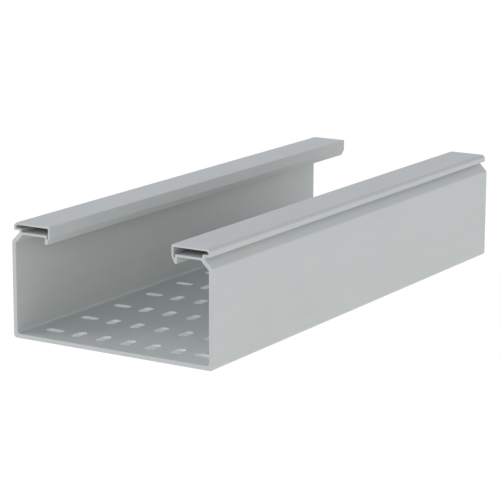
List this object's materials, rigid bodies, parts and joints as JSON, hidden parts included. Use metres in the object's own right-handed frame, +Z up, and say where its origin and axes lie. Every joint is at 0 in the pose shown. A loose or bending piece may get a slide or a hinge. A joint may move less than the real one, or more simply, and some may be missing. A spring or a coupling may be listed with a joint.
{
  "type": "perforated cable tray",
  "caption": "Straight rigid PVC cable tray with a slotted base, walls that lean in at the top, and hollow rails along both walls for a clip-on cover.",
  "frame": {"origin": "centre of the underside of the base, halfway along the bar", "axes": "+X across the tray, +Y along the bar, +Z up towards the rails"},
  "size_m": [0.2, 0.5, 0.1],
  "materials": {
    "rigid_pvc": "light grey extruded rigid PVC, satin-matt, with sawn ends"
  },
  "bodies": {
    "root": {"cable_tray": "rigid_pvc"}
  },
  "joints": []
}
